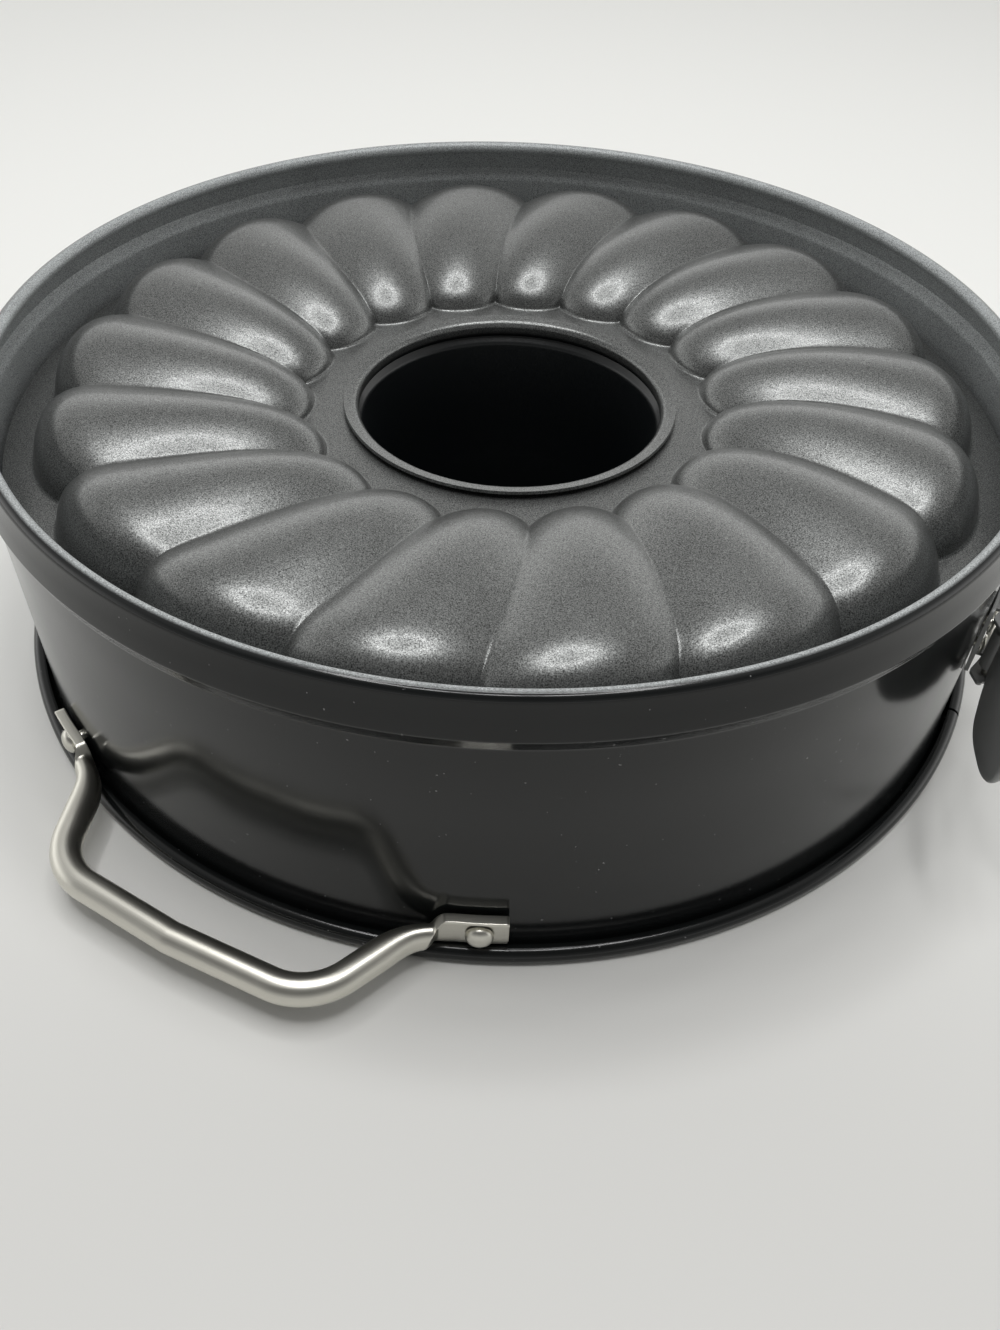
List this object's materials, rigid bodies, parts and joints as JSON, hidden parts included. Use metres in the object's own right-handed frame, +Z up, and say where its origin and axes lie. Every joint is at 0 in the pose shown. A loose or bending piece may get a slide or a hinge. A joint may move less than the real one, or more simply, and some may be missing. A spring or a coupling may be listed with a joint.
{
  "type": "springform bundt pan",
  "caption": "Round springform baking pan shown upside down: a band with a lever latch and riveted handles round a fluted insert with a centre tube.",
  "frame": {"origin": "the pan's axis, on the table on which it stands upside down", "axes": "+Z up along the pan's axis, -Y towards the viewer, +X to the right"},
  "size_m": [0.2706, 0.302, 0.0794],
  "materials": {
    "band_coat": "semi-gloss non-stick coat",
    "insert_coat": "satin metallic non-stick coat",
    "latch_coat": "satin",
    "satin_steel": "satin"
  },
  "bodies": {
    "insert_set": {"insert": "insert_coat", "centre_tube": "insert_coat"},
    "front_half": {"band_front": "band_coat", "front_handle": "satin_steel", "front_handle_left_rivet": "satin_steel", "front_handle_right_rivet": "satin_steel", "latch_base": "latch_coat", "latch_base_lower_rivet": "satin_steel", "latch_base_upper_rivet": "satin_steel", "lever_pin": "satin_steel"},
    "lever": {"latch_lever": "latch_coat"},
    "bail": {"bail": "satin_steel"},
    "back_half": {"band_back": "band_coat", "back_handle": "satin_steel", "back_handle_left_rivet": "satin_steel", "back_handle_right_rivet": "satin_steel", "catch_plate": "latch_coat", "catch_plate_lower_rivet": "satin_steel", "catch_plate_upper_rivet": "satin_steel", "seam_tongue": "band_coat"}
  },
  "joints": [
    {"name": "ring_lift", "type": "slide", "parent": "insert_set", "child": "front_half", "axis": [0, 0, 1], "range_m": [0, 0.085]},
    {"name": "lever_turn", "type": "hinge", "parent": "front_half", "child": "lever", "pos_m": [0.12107, -0.06264, 0.039], "axis": [0, 0, 1], "range_deg": [0, 140]},
    {"name": "bail_turn", "type": "hinge", "parent": "lever", "child": "bail", "pos_m": [0.11683, -0.06942, 0.039], "axis": [0, 0, 1], "range_deg": [-140, 0]},
    {"name": "band_opening", "type": "hinge", "parent": "front_half", "child": "back_half", "pos_m": [-0.11818, 0.05511, 0.039], "axis": [0, 0, 1], "range_deg": [0, 2.95]}
  ],
  "couplings": [
    {"joint": "bail_turn", "follows": "lever_turn", "ratio": -1},
    {"joint": "band_opening", "follows": "lever_turn", "ratio": 0.021}
  ]
}
